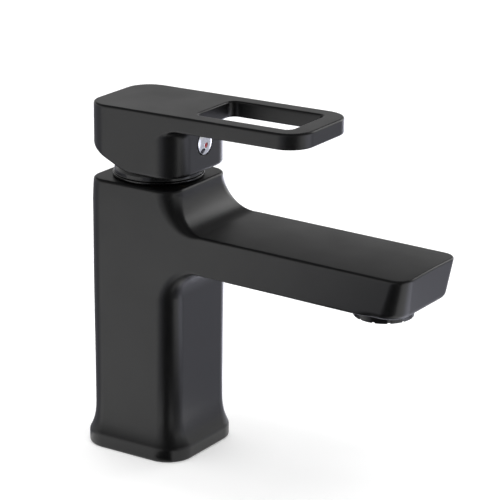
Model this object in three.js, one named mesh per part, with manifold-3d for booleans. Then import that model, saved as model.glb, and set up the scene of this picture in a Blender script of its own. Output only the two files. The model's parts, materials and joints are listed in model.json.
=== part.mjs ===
// Single-lever basin mixer: a square column with a flat spout, and a lever handle with a rectangular
// finger opening, over a compact ceramic-disc cartridge. Millimetres, +Z up. The origin is the centre
// of the base on the deck. Spout and lever point forwards, along -Y, and the hot side is -X.
import * as THREE from 'three';
import { mergeVertices } from 'three/addons/utils/BufferGeometryUtils.js';
import Module from 'manifold-3d';

const wasm = await Module();
wasm.setup();

// ---- Driving dimensions ----
const GAP = 0.3; // clearance between neighbouring solids
const DEG = Math.PI / 180;

// Column
const COLUMN_HALF = 21.5; // half of the square column's side
const COLUMN_CORNER = 8.3; // its vertical corners
const COLUMN_TOP = 115.2;
const WAIST_DEPTH = 37; // this far below the top, the column starts to narrow towards the foot
const WAIST_SHARE = 0.012;
const SHOULDER_DEPTH = 10.8; // and this far below the top, it starts to narrow towards the top
const SHOULDER_SHARE = 0.018;

// Base flare
const OVERHANG_X = 2.2;
const OVERHANG_Y = 3;
const BASE_CORNER = 11.6;
const BASE_BAND = 6.4; // height of the upright band
const BASE_BEAD = 1.6; // rounding on top of the band
const BASE_BEAD_SHARE = 0.16; // share of the overhang that the rounding takes
const BASE_FOOT = 1.1; // rounding at the foot of the band
const BASE_TOP = 19; // where the flare meets the column
const BASE_COVE = 2.8; // power of the flare's curve between band and column

// Spout. Its two long faces are given where they would meet the column's axis.
const SPOUT_DROP = 15.1; // column top to spout top
const SPOUT_TOP_SLOPE = -0.82 * DEG;
const SPOUT_THICKNESS = 16.15;
const SPOUT_UNDERSIDE_SLOPE = -1.07 * DEG;
const SPOUT_REACH = 127.8; // tip of the top face, from the column's axis
const SPOUT_LEAN = 9.2 * DEG; // the tip face leans back towards the underside
const SPOUT_TIP_CORNER = 7.5; // plan corners of the tip at its top edge
const SPOUT_TIP_LOWER_CORNER = 9; // and at its lower edge
const SPOUT_EDGE = 0.9; // rounding of the long edges
const FILLET_ABOVE = 13;
const FILLET_BELOW = 13.5;

// Waterways
const CARTRIDGE_DEPTH = 20; // column top to the floor of the cartridge bore
const PORT_RADIUS = 2.4;
const INLET_PORT_X = 5;
const INLET_PORT_Y = 3;
const OUTLET_PORT_Y = -5.8;
const CORE_WALL = 3.4; // wall round the hollow foot of the column
const CORE_CORNER = 5;
const CORE_CEILING = 62;
const SOCKET_RADIUS = 5.1; // threaded sockets of the two supply hoses
const SOCKET_X = 7.5;
const SOCKET_DEPTH = 12;
const STUD_RADIUS = 4; // threaded hole of the fixing stud
const STUD_Y = -10;
const STUD_DEPTH = 14;
const CHANNEL_HALF = 16; // flat water channel through the spout
const CHANNEL_WALL = 2.4;
const SEAT_THICKNESS = 2;

// Gasket under the base
const GASKET_WIDTH = 2.6;
const GASKET_HEIGHT = 2;

// Cartridge
const CARTRIDGE_RADIUS = 12.7;
const BASE_PLATE_HEIGHT = 2.7;
const DISC_HEIGHT = 2.5;
const MOVING_DISC_RADIUS = 6.8;
const MOVING_DISC_BACK = 1.2; // offset of the moving disc when the tap is shut
const CARRIER_HEIGHT = 2.2;
const HOUSING_WALL = 2.8;
const SHOULDER_BELOW_TOP = 8; // where the lock nut presses on the housing
const GUIDE_RADIUS = 8.5;
const GUIDE_FLANGE_HEIGHT = 1.5;
const GUIDE_ABOVE_PIVOT = 5;
const NECK_WALL = 1.4;
const NECK_ABOVE_PIVOT = 1.6;
const PIVOT_BELOW_TOP = 3;
const PIN_RADIUS = 1.5;
const NUT_THREAD_WALL = 3;
const NUT_HEX_WALL = 3.2;
const NUT_ABOVE_TOP = 4.2;
const SEAL_WIDTH = 0.7; // radial half-section of the port seals

// Stem
const STEM_HALF = 3.3; // square head that the handle sits on
const STEM_ARM = 6.4; // pivot to the centre of the ball end
const STEM_BALL = 1.7;
const LIFT = 24 * DEG; // full travel of the lever

// Collar
const COLLAR_OUTSIDE_NUT = 3;
const COLLAR_FLANGE = 1.1;
const COLLAR_WALL = 1.8;
const COLLAR_HEIGHT = 7.2;
const COLLAR_SEAL = 0.8;

// Handle
const CUP_WALL_X = 1.4;
const CUP_WALL_Y = 2.6;
const CUP_ROOM_Y = 1; // the cup's hollow is this much longer than wide, at each end
const CUP_LIFT = 4.5; // column top to the cup's underside
const CUP_FILLET = 4;
const HANDLE_HEIGHT = 26.7; // cup's underside to the top face, at the column's axis
const HANDLE_CORNER = 10.7; // plan corners of the lever's tip and of the cup
const HANDLE_TILT = 0.85 * DEG;
const LEVER_THICKNESS = 6.6;
const RELIEF_START = 2.5; // behind the axis, where the cup's underside starts to rise
const OPENING_SETBACK = 4.2; // front of the cup to the finger opening
const OPENING_LENGTH = 44.1;
const OPENING_BORDER = 7.2;
const OPENING_CORNER = 3.4;
const TIP_BORDER = 8.7;
const CAVITY_CORNER = 7;
const CAVITY_ROOF = 13.4; // top face to the roof of the cup's hollow
const SOCKET_ROOF = 6.9; // top face to the top of the stem
const BOSS_RADIUS = 6.2;
const BOSS_HEIGHT = 3.6;
const SCREW_BELOW_TOP = 14.8;
const SCREW_RADIUS = 2.5;
const SCREW_LENGTH = 8;
const PLUG_RADIUS = 4.9;
const PLUG_DEPTH = 3.4;
const PLUG_CROWN = 0.7;
const MARK_RADIUS = 1.1;
const MARK_DEPTH = 0.9;

// Aerator
const AERATOR_Y = 106.5; // distance in front of the column's axis
const AERATOR_DROP = 5.9; // how far it stands below the spout
const AERATOR_THREAD_RADIUS = 11;
const AERATOR_COLLAR = 1; // the visible collar is this much wider than the thread
const AERATOR_THREAD_LENGTH = 8;
const AERATOR_WALL = 1.6;
const AERATOR_LIP = 1.2;
const AERATOR_LIP_HEIGHT = 2;
const POCKET_ROOM = 3; // free height above the washer
const SCREEN_HEIGHT = 1.2;
const SCREEN_HOLE = 1.2;
const INSERT_HOLE = 1.3;
const WASHER_HEIGHT = 1.4;
const WASHER_WIDTH = 3.7;

// ---- Levels and radii that follow ----
const SEAT_Z = COLUMN_TOP - CARTRIDGE_DEPTH;
const PIVOT_Z = COLUMN_TOP - PIVOT_BELOW_TOP;
const SHOULDER_Z = COLUMN_TOP - SHOULDER_BELOW_TOP;
const SPOUT_TOP = COLUMN_TOP - SPOUT_DROP;
const SPOUT_UNDERSIDE = SPOUT_TOP - SPOUT_THICKNESS;
const WAIST_TOP = COLUMN_TOP - WAIST_DEPTH;
const SHOULDER_START = COLUMN_TOP - SHOULDER_DEPTH;
const CHANNEL_FLOOR = SPOUT_UNDERSIDE + CHANNEL_WALL;
const CORE_HALF = COLUMN_HALF - CORE_WALL;
const HOUSING_BORE = CARTRIDGE_RADIUS - HOUSING_WALL;
const NECK_RADIUS = GUIDE_RADIUS + GAP + NECK_WALL;
const NUT_RADIUS = CARTRIDGE_RADIUS + NUT_THREAD_WALL;
const NUT_HEX_RADIUS = NECK_RADIUS + NUT_HEX_WALL;
const COLLAR_RADIUS = NUT_RADIUS + COLLAR_OUTSIDE_NUT;
const COLLAR_DOME = COLLAR_RADIUS + 0.25; // spherical about the pivot
const COLLAR_TOP = COLUMN_TOP + COLLAR_HEIGHT;
const CUP_BOTTOM = COLUMN_TOP + CUP_LIFT;
const HANDLE_TOP = CUP_BOTTOM + HANDLE_HEIGHT;
const CAVITY_HALF_X = COLLAR_RADIUS + GAP;
const CAVITY_HALF_Y = CAVITY_HALF_X + CUP_ROOM_Y;
const HANDLE_HALF = CAVITY_HALF_X + CUP_WALL_X;
const CUP_HALF_Y = CAVITY_HALF_Y + CUP_WALL_Y;
const OPENING_NEAR = CUP_HALF_Y + OPENING_SETBACK;
const OPENING_FAR = OPENING_NEAR + OPENING_LENGTH;
const HANDLE_REACH = OPENING_FAR + TIP_BORDER;
const CAVITY_TOP = HANDLE_TOP - CAVITY_ROOF;
const STEM_TOP = HANDLE_TOP - SOCKET_ROOF;
const SCREW_Z = HANDLE_TOP - SCREW_BELOW_TOP;
const SPOUT_UNDERSIDE_AT_AERATOR = SPOUT_UNDERSIDE + Math.tan(SPOUT_UNDERSIDE_SLOPE) * AERATOR_Y;
const AERATOR_BOTTOM = SPOUT_UNDERSIDE_AT_AERATOR - AERATOR_DROP;
const AERATOR_TOP = SPOUT_UNDERSIDE_AT_AERATOR + AERATOR_THREAD_LENGTH;
const AERATOR_RADIUS = AERATOR_THREAD_RADIUS + AERATOR_COLLAR;
const AERATOR_BORE = AERATOR_THREAD_RADIUS - AERATOR_WALL;
const POCKET_TOP = AERATOR_TOP + GAP + WASHER_HEIGHT + POCKET_ROOM;

// ---- Materials ----
const finish = (color, roughness, metalness) =>
  () => new THREE.MeshStandardMaterial({ color, roughness, metalness });
const BLACK_COAT = finish(0x1b1b1c, 0.5, 0.3);
const BRASS = finish(0xb89a5a, 0.35, 0.9);
const STEEL = finish(0xb9bcc0, 0.3, 1);
const CHROME = finish(0xd6d8dc, 0.12, 1);
const WHITE_PLASTIC = finish(0xd9d9d4, 0.5, 0);
const CERAMIC = finish(0xf1efe8, 0.2, 0);
const RUBBER = finish(0x151515, 0.85, 0);
const RED = finish(0xb3141c, 0.35, 0);
const BLUE = finish(0x1b2f6b, 0.35, 0);

// ---- Solids ----
function solid(geometry) {
  const bare = geometry.clone();
  bare.deleteAttribute('normal');
  bare.deleteAttribute('uv');
  const merged = mergeVertices(bare, 1e-4);
  const vertProperties = new Float32Array(merged.attributes.position.array);
  const triVerts = new Uint32Array(merged.index.array);
  return new wasm.Manifold(new wasm.Mesh({ numProp: 3, vertProperties, triVerts }));
}

function geometryOf(body) {
  const { vertProperties, triVerts } = body.getMesh();
  const geometry = new THREE.BufferGeometry();
  geometry.setAttribute('position', new THREE.BufferAttribute(vertProperties, 3));
  geometry.setIndex(new THREE.BufferAttribute(triVerts, 1));
  geometry.computeVertexNormals();
  return geometry;
}

const group = new THREE.Group();

function add(name, body, material) {
  const mesh = new THREE.Mesh(geometryOf(body), material());
  mesh.name = name;
  group.add(mesh);
}

// Cylinders along Z, Y and X.
function rodZ(radius, low, high, x = 0, y = 0, sides = 36) {
  const rod = new THREE.CylinderGeometry(radius, radius, high - low, sides);
  return solid(rod.rotateX(Math.PI / 2).translate(x, y, (low + high) / 2));
}

function rodY(radius, front, back, x, z, sides = 28) {
  const rod = new THREE.CylinderGeometry(radius, radius, back - front, sides);
  return solid(rod.translate(x, (front + back) / 2, z));
}

function rodX(radius, half, y, z, sides = 20) {
  const rod = new THREE.CylinderGeometry(radius, radius, 2 * half, sides);
  return solid(rod.rotateZ(Math.PI / 2).translate(0, y, z));
}

function block(lowX, highX, lowY, highY, lowZ, highZ) {
  const box = new THREE.BoxGeometry(highX - lowX, highY - lowY, highZ - lowZ);
  return solid(box.translate((lowX + highX) / 2, (lowY + highY) / 2, (lowZ + highZ) / 2));
}

// A profile of [radius, height] pairs, listed anticlockwise, turned about Z.
function turned(profile, sides = 36) {
  const points = profile.map(([radius, height]) => new THREE.Vector2(radius, height));
  return solid(new THREE.LatheGeometry(points, sides).rotateX(Math.PI / 2));
}

// An O-ring lying flat: a round section of the given radius, turned about Z.
function oRing(middle, section, z, x = 0, y = 0, sides = 20) {
  return solid(new THREE.TorusGeometry(middle, section, 6, sides).translate(x, y, z));
}

// Plan outline with its own corner radius at the front (-Y) and at the back.
function planOutline(halfX, front, back, frontCorner, backCorner = frontCorner) {
  const outline = new THREE.Shape();
  outline.absarc(halfX - backCorner, back - backCorner, backCorner, 0, Math.PI / 2);
  outline.absarc(backCorner - halfX, back - backCorner, backCorner, Math.PI / 2, Math.PI);
  outline.absarc(frontCorner - halfX, frontCorner - front, frontCorner, Math.PI, 1.5 * Math.PI);
  outline.absarc(halfX - frontCorner, frontCorner - front, frontCorner, 1.5 * Math.PI, 2 * Math.PI);
  outline.closePath();
  return outline;
}

function prism(outline, low, high, curveSegments = 6) {
  const geometry = new THREE.ExtrudeGeometry(outline, {
    depth: high - low,
    bevelEnabled: false,
    curveSegments,
  });
  return geometry.translate(0, 0, low);
}

// A side outline drawn as (distance forwards, height), as thick as 2 * half along X.
const SIDE_TO_WORLD = new THREE.Matrix4().makeBasis(
  new THREE.Vector3(0, -1, 0),
  new THREE.Vector3(0, 0, 1),
  new THREE.Vector3(-1, 0, 0),
);

function sidePrism(outline, half) {
  return solid(prism(outline, -half, half, 10).applyMatrix4(SIDE_TO_WORLD));
}

// Joins rings of equal length into one closed skin. flatten gives the two coordinates that an end cap
// is triangulated in.
function skin(rings, flatten) {
  const count = rings[0].length;
  const index = [];
  for (let ring = 0; ring + 1 < rings.length; ring++) {
    for (let i = 0; i < count; i++) {
      const a = ring * count + i;
      const b = ring * count + ((i + 1) % count);
      index.push(a, b, b + count, a, b + count, a + count);
    }
  }
  const last = (rings.length - 1) * count;
  for (const [i, j, k] of THREE.ShapeUtils.triangulateShape(rings[0].map(flatten), [])) {
    index.push(i, k, j);
  }
  for (const [i, j, k] of THREE.ShapeUtils.triangulateShape(rings.at(-1).map(flatten), [])) {
    index.push(last + i, last + j, last + k);
  }
  const geometry = new THREE.BufferGeometry().setFromPoints(rings.flat());
  geometry.setIndex(index);
  return solid(geometry);
}

// ---- Body: column, spout and flared base in one casting ----

// The column's sides are slightly barrelled: this share of its full width is left at height z.
function columnShare(z) {
  const waist = Math.max(0, (WAIST_TOP - z) / (WAIST_TOP - BASE_TOP));
  const shoulder = Math.max(0, (z - SHOULDER_START) / (COLUMN_TOP - SHOULDER_START));
  return 1 - WAIST_SHARE * waist ** 2 - SHOULDER_SHARE * shoulder ** 2;
}

// Points of the side outline. Each has an outward normal and the radius that the edge between the
// outline and the body's flat sides has there.
function bodyOutline() {
  const points = [];
  const at = (f, z, normalF, normalZ, edge) => points.push({ f, z, normalF, normalZ, edge });
  const fillet = (centreF, centreZ, radius, from, to, edgeFrom, edgeTo) => {
    const steps = 8;
    for (let i = 0; i <= steps; i++) {
      const share = i / steps;
      const angle = from + (to - from) * share;
      const edge = edgeFrom + (edgeTo - edgeFrom) * share;
      at(centreF + radius * Math.cos(angle), centreZ + radius * Math.sin(angle),
        -Math.cos(angle), -Math.sin(angle), edge);
    }
  };
  const beyond = SPOUT_REACH + 6; // cut back afterwards by the tip face
  const underside = (f) => SPOUT_UNDERSIDE + Math.tan(SPOUT_UNDERSIDE_SLOPE) * f;
  const top = (f) => SPOUT_TOP + Math.tan(SPOUT_TOP_SLOPE) * f;
  const upright = (side, from, to, steps) => {
    for (let i = 0; i <= steps; i++) {
      at(side * COLUMN_HALF, from + ((to - from) * i) / steps, side, 0, COLUMN_CORNER);
    }
  };
  const lowerEnd = COLUMN_HALF + FILLET_BELOW * (1 - Math.sin(SPOUT_UNDERSIDE_SLOPE));
  const lowerZ = underside(lowerEnd) - FILLET_BELOW * Math.cos(SPOUT_UNDERSIDE_SLOPE);
  upright(1, BASE_TOP - 1, lowerZ - 1, 4);
  fillet(COLUMN_HALF + FILLET_BELOW, lowerZ, FILLET_BELOW,
    Math.PI, Math.PI / 2 + SPOUT_UNDERSIDE_SLOPE, COLUMN_CORNER, SPOUT_EDGE);
  at(beyond, underside(beyond), 1, -1, SPOUT_EDGE);
  at(beyond, top(beyond), 1, 1, SPOUT_EDGE);
  const upperEnd = COLUMN_HALF + FILLET_ABOVE * (1 + Math.sin(SPOUT_TOP_SLOPE));
  const upperZ = top(upperEnd) + FILLET_ABOVE * Math.cos(SPOUT_TOP_SLOPE);
  fillet(COLUMN_HALF + FILLET_ABOVE, upperZ, FILLET_ABOVE,
    1.5 * Math.PI + SPOUT_TOP_SLOPE, Math.PI, SPOUT_EDGE, COLUMN_CORNER);
  upright(1, upperZ + 1, COLUMN_TOP, 2);
  upright(-1, COLUMN_TOP, SHOULDER_START, 3);
  upright(-1, WAIST_TOP, BASE_TOP - 1, 4);
  return points;
}

function columnAndSpout() {
  const outline = bodyOutline();
  const steps = 4;
  const ring = (side, angle) => outline.map((p) => {
    const x = side * (COLUMN_HALF - p.edge * (1 - Math.cos(angle)));
    const inset = p.edge * (1 - Math.sin(angle));
    const share = columnShare(p.z);
    return new THREE.Vector3(x * share, -(p.f - p.normalF * inset) * share, p.z - p.normalZ * inset);
  });
  const angles = Array.from({ length: steps + 1 }, (_, i) => (i / steps) * (Math.PI / 2));
  const rings = [
    ...angles.map((angle) => ring(1, angle)),
    ...angles.reverse().map((angle) => ring(-1, angle)),
  ];
  return skin(rings, (p) => new THREE.Vector2(-p.y, p.z));
}

// Everything behind the leaning tip face. The tip's two upright corners widen towards the underside.
function spoutTipLimit() {
  const topZ = SPOUT_TOP + Math.tan(SPOUT_TOP_SLOPE) * SPOUT_REACH;
  const bottomZ = SPOUT_UNDERSIDE + Math.tan(SPOUT_UNDERSIDE_SLOPE) * SPOUT_REACH;
  const lowerReach = SPOUT_REACH - Math.tan(SPOUT_LEAN) * (topZ - bottomZ);
  const back = COLUMN_HALF + OVERHANG_Y;
  const backCorner = 0.1;
  const level = (front, corner, z) => planRing(COLUMN_HALF, front, back, corner, z, backCorner);
  return skin([
    level(lowerReach, SPOUT_TIP_LOWER_CORNER, -1),
    level(lowerReach, SPOUT_TIP_LOWER_CORNER, bottomZ),
    level(SPOUT_REACH, SPOUT_TIP_CORNER, topZ),
    level(SPOUT_REACH, SPOUT_TIP_CORNER, COLUMN_TOP + 1),
  ], (p) => new THREE.Vector2(p.x, p.y));
}

function planRing(halfX, front, back, corner, z, backCorner = corner) {
  const outline = planOutline(halfX, front, back, corner, backCorner);
  return outline.extractPoints(4).shape.map((p) => new THREE.Vector3(p.x, p.y, z));
}

function baseFlare() {
  const rings = [];
  const level = (share, z) => {
    const column = COLUMN_HALF * columnShare(BASE_TOP);
    const halfY = column + (COLUMN_HALF + OVERHANG_Y - column) * share;
    const halfX = column + (COLUMN_HALF + OVERHANG_X - column) * share;
    const corner = COLUMN_CORNER + (BASE_CORNER - COLUMN_CORNER) * share;
    rings.push(planRing(halfX, halfY, halfY, corner, z));
  };
  for (const angle of [0, 45, 90]) {
    const inset = BASE_FOOT * (1 - Math.sin(angle * DEG));
    level(1 - inset / OVERHANG_Y, BASE_FOOT * (1 - Math.cos(angle * DEG)));
  }
  for (const part of [0, 0.33, 0.67, 1]) {
    level(1 - BASE_BEAD_SHARE * part ** 2, BASE_BAND - BASE_BEAD * (1 - part));
  }
  for (const part of [0.07, 0.15, 0.24, 0.34, 0.46, 0.6, 0.78, 1]) {
    const share = (1 - BASE_BEAD_SHARE) * (1 - part) ** BASE_COVE;
    level(share, BASE_BAND + (BASE_TOP - BASE_BAND) * part);
  }
  return skin(rings, (p) => new THREE.Vector2(p.x, p.y));
}

function gasketSpace(bottom, grow) {
  const half = CORE_HALF + GASKET_WIDTH + grow;
  const outline = planOutline(half, half, half, CORE_CORNER + GASKET_WIDTH);
  return solid(prism(outline, bottom, GASKET_HEIGHT + grow));
}

function bodyCasting() {
  const core = planOutline(CORE_HALF, CORE_HALF, CORE_HALF, CORE_CORNER);
  const above = COLUMN_TOP + 1;
  const cuts = [
    solid(prism(core, -1, CORE_CEILING)),
    gasketSpace(-1, GAP),
    rodZ(CARTRIDGE_RADIUS + GAP, SEAT_Z, above),
    rodZ(NUT_RADIUS + GAP, SHOULDER_Z - GAP, above),
    block(-CHANNEL_HALF, CHANNEL_HALF, -AERATOR_Y, OUTLET_PORT_Y + PORT_RADIUS,
      CHANNEL_FLOOR, SEAT_Z - SEAT_THICKNESS),
    rodZ(PORT_RADIUS, CHANNEL_FLOOR + 1, SEAT_Z + 1, 0, OUTLET_PORT_Y, 20),
    rodZ(STUD_RADIUS, CORE_CEILING - 1, CORE_CEILING + STUD_DEPTH, 0, STUD_Y, 24),
    rodZ(AERATOR_THREAD_RADIUS + GAP, AERATOR_BOTTOM, POCKET_TOP, 0, -AERATOR_Y),
  ];
  const socketTop = CORE_CEILING + SOCKET_DEPTH;
  for (const side of [-1, 1]) {
    cuts.push(rodZ(SOCKET_RADIUS, CORE_CEILING - 1, socketTop, side * SOCKET_X, INLET_PORT_Y, 24));
    cuts.push(rodZ(PORT_RADIUS, socketTop - 1, SEAT_Z + 1, side * INLET_PORT_X, INLET_PORT_Y, 20));
  }
  let body = columnAndSpout().intersect(spoutTipLimit()).add(baseFlare());
  for (const cut of cuts) body = body.subtract(cut);
  return body;
}

function baseGasket() {
  const inner = planOutline(CORE_HALF + GAP, CORE_HALF + GAP, CORE_HALF + GAP, CORE_CORNER);
  return gasketSpace(0, 0).subtract(solid(prism(inner, -1, GASKET_HEIGHT + 1)));
}

// ---- Cartridge ----
const PORTS = [
  [-INLET_PORT_X, INLET_PORT_Y],
  [INLET_PORT_X, INLET_PORT_Y],
  [0, OUTLET_PORT_Y],
];
const basePlateBottom = SEAT_Z + GAP;
const basePlateTop = basePlateBottom + BASE_PLATE_HEIGHT;
const fixedDiscBottom = basePlateTop + GAP;
const movingDiscBottom = fixedDiscBottom + DISC_HEIGHT + GAP;
const carrierBottom = movingDiscBottom + DISC_HEIGHT + GAP;
const guideBottom = carrierBottom + CARRIER_HEIGHT + GAP;

function cartridgeBase() {
  let plate = rodZ(CARTRIDGE_RADIUS, basePlateBottom, basePlateTop);
  for (const [x, y] of PORTS) {
    plate = plate.subtract(rodZ(PORT_RADIUS, 0, basePlateTop + 1, x, y, 20));
    const groove = rodZ(PORT_RADIUS + 2 * SEAL_WIDTH + GAP, 0, basePlateBottom + 2 * SEAL_WIDTH, x, y, 24);
    plate = plate.subtract(groove);
  }
  return plate;
}

function portSeal([x, y]) {
  return oRing(PORT_RADIUS + SEAL_WIDTH, SEAL_WIDTH - 0.15, basePlateBottom + SEAL_WIDTH, x, y);
}

function fixedDisc() {
  const radius = HOUSING_BORE - GAP;
  let disc = rodZ(radius, fixedDiscBottom, fixedDiscBottom + DISC_HEIGHT);
  for (const [x, y] of PORTS) disc = disc.subtract(rodZ(PORT_RADIUS, 0, 200, x, y, 20));
  return disc;
}

// The moving disc has a mixing pocket in its underside.
function movingDisc() {
  const pocketDepth = 1.3;
  const pocketRadius = 4.4;
  const disc = rodZ(MOVING_DISC_RADIUS, movingDiscBottom, movingDiscBottom + DISC_HEIGHT,
    0, MOVING_DISC_BACK);
  return disc.subtract(rodZ(pocketRadius, movingDiscBottom - 1, movingDiscBottom + pocketDepth,
    0, MOVING_DISC_BACK, 24));
}

function discCarrier() {
  const carrier = rodZ(MOVING_DISC_RADIUS, carrierBottom, carrierBottom + CARRIER_HEIGHT,
    0, MOVING_DISC_BACK);
  return carrier.subtract(rodZ(STEM_BALL + GAP, carrierBottom - 1, 200, 0, 0, 24));
}

function cartridgeHousing() {
  const flangeTop = guideBottom + GUIDE_FLANGE_HEIGHT + GAP;
  const neckBore = GUIDE_RADIUS + GAP;
  const neckTop = PIVOT_Z + NECK_ABOVE_PIVOT;
  return turned([
    [HOUSING_BORE, fixedDiscBottom],
    [CARTRIDGE_RADIUS, fixedDiscBottom],
    [CARTRIDGE_RADIUS, SHOULDER_Z],
    [NECK_RADIUS, SHOULDER_Z],
    [NECK_RADIUS, neckTop],
    [neckBore, neckTop],
    [neckBore, flangeTop],
    [HOUSING_BORE, flangeTop],
    [HOUSING_BORE, fixedDiscBottom],
  ]);
}

function spindleGuide() {
  const swing = Math.tan(LIFT);
  const slotBack = GUIDE_ABOVE_PIVOT * swing + STEM_HALF / Math.cos(LIFT) + 2 * GAP;
  const slotFront = -(PIVOT_Z - guideBottom) * swing - STEM_BALL / Math.cos(LIFT) - 2 * GAP;
  const guideTop = PIVOT_Z + GUIDE_ABOVE_PIVOT;
  const guide = rodZ(GUIDE_RADIUS, guideBottom, guideTop)
    .add(rodZ(HOUSING_BORE - GAP, guideBottom, guideBottom + GUIDE_FLANGE_HEIGHT));
  const slotHalf = STEM_HALF + GAP;
  return guide
    .subtract(block(-slotHalf, slotHalf, slotFront, slotBack, guideBottom - 1, guideTop + 1))
    .subtract(rodX(PIN_RADIUS + GAP, 2 * GUIDE_RADIUS, 0, PIVOT_Z));
}

function pivotPin() {
  return rodX(PIN_RADIUS, GUIDE_RADIUS - 0.5, 0, PIVOT_Z);
}

// Square head, a flat shank round the pin, and a ball end that drives the disc carrier.
function stem() {
  const shankHalf = 2.9;
  const ballZ = PIVOT_Z - STEM_ARM;
  const shankTop = PIVOT_Z + GUIDE_ABOVE_PIVOT + 1;
  const ball = solid(new THREE.SphereGeometry(STEM_BALL, 16, 10).translate(0, 0, ballZ));
  return block(-STEM_HALF, STEM_HALF, -STEM_HALF, STEM_HALF, shankTop, STEM_TOP)
    .add(block(-STEM_HALF, STEM_HALF, -shankHalf, shankHalf, PIVOT_Z - 3, shankTop + 1))
    .add(rodZ(STEM_BALL * 0.8, ballZ, PIVOT_Z - 2, 0, 0, 16))
    .add(ball)
    .subtract(rodX(PIN_RADIUS + GAP, 2 * STEM_HALF, 0, PIVOT_Z));
}

function lockNut() {
  const threaded = rodZ(NUT_RADIUS, SHOULDER_Z + GAP, COLUMN_TOP);
  const hex = rodZ(NUT_HEX_RADIUS, COLUMN_TOP - 1, COLUMN_TOP + NUT_ABOVE_TOP, 0, 0, 6);
  return threaded.add(hex).subtract(rodZ(NECK_RADIUS + GAP, 0, 200));
}

// ---- Collar: a flanged ring whose dome is spherical about the pivot ----
function domeRadius(z, sphere) {
  return Math.sqrt(sphere * sphere - (z - PIVOT_Z) ** 2);
}

function collarRing() {
  const bottom = COLUMN_TOP + GAP;
  const flangeTop = bottom + COLLAR_FLANGE;
  const neck = COLLAR_RADIUS - 0.7;
  const inner = COLLAR_DOME - COLLAR_WALL;
  const outside = [];
  const inside = [];
  const steps = 4;
  const domeStart = PIVOT_Z + Math.sqrt(COLLAR_DOME ** 2 - neck ** 2);
  const innerTop = COLLAR_TOP - COLLAR_WALL;
  for (let i = 0; i <= steps; i++) {
    const z = domeStart + ((COLLAR_TOP - domeStart) * i) / steps;
    outside.push([domeRadius(z, COLLAR_DOME), z]);
    const innerZ = innerTop + ((bottom - innerTop) * i) / steps;
    inside.push([domeRadius(innerZ, inner), innerZ]);
  }
  const opening = domeRadius(innerTop, inner) - 1;
  return turned([
    [domeRadius(bottom, inner), bottom],
    [COLLAR_RADIUS, bottom],
    [COLLAR_RADIUS, flangeTop],
    [neck, flangeTop + 0.7],
    ...outside,
    [opening, COLLAR_TOP],
    [opening, innerTop],
    ...inside,
  ]);
}

function collarSeal() {
  return oRing(NUT_HEX_RADIUS + GAP + COLLAR_SEAL, COLLAR_SEAL, COLUMN_TOP + 2 * GAP + COLLAR_SEAL);
}

// ---- Handle ----
const handleTopAt = (f) => HANDLE_TOP + Math.tan(HANDLE_TILT) * f;

// The lever plate's side outline, longer than the plate at both ends.
function leverSide() {
  const front = HANDLE_REACH + 5;
  const back = CUP_HALF_Y + 5;
  const outline = new THREE.Shape();
  outline.moveTo(front, handleTopAt(front));
  outline.lineTo(-back, handleTopAt(-back));
  outline.lineTo(-back, handleTopAt(-back) - LEVER_THICKNESS);
  outline.lineTo(front, handleTopAt(front) - LEVER_THICKNESS);
  outline.closePath();
  return outline;
}

// What is cut away under the back of the cup, so that it clears the column when the lever lifts.
function reliefSide() {
  const back = CUP_HALF_Y + 5;
  const outline = new THREE.Shape();
  outline.moveTo(-RELIEF_START, CUP_BOTTOM);
  outline.lineTo(-back, CUP_BOTTOM + (back - RELIEF_START) * Math.tan(LIFT));
  outline.lineTo(-back, CUP_BOTTOM - 5);
  outline.lineTo(-RELIEF_START, CUP_BOTTOM - 5);
  outline.closePath();
  return outline;
}

// The cup spreads into the lever's underside with a concave fillet.
function cup() {
  const top = handleTopAt(0) - 1;
  const underside = handleTopAt(CUP_HALF_Y) - LEVER_THICKNESS;
  const rings = [];
  const level = (spread, z) => rings.push(planRing(HANDLE_HALF + spread, CUP_HALF_Y + spread,
    CUP_HALF_Y + spread, HANDLE_CORNER + spread, z));
  level(0, CUP_BOTTOM);
  for (const angle of [0, 22.5, 45, 67.5, 90]) {
    const spread = CUP_FILLET * (1 - Math.cos(angle * DEG));
    level(spread, underside - CUP_FILLET * (1 - Math.sin(angle * DEG)));
  }
  level(CUP_FILLET, top);
  return skin(rings, (p) => new THREE.Vector2(p.x, p.y));
}

// Holds the stem's square head. A web runs forwards from it to the cup's front wall, round the
// clamping screw and behind the plug.
function screwBoss() {
  const webHalf = PLUG_RADIUS + 1.2;
  const webBottom = SCREW_Z - PLUG_RADIUS - 1;
  return rodZ(BOSS_RADIUS, CAVITY_TOP - BOSS_HEIGHT, CAVITY_TOP + 1, 0, 0, 28)
    .add(block(-webHalf, webHalf, -CAVITY_HALF_Y - 1, 0, webBottom, CAVITY_TOP + 1));
}

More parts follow.
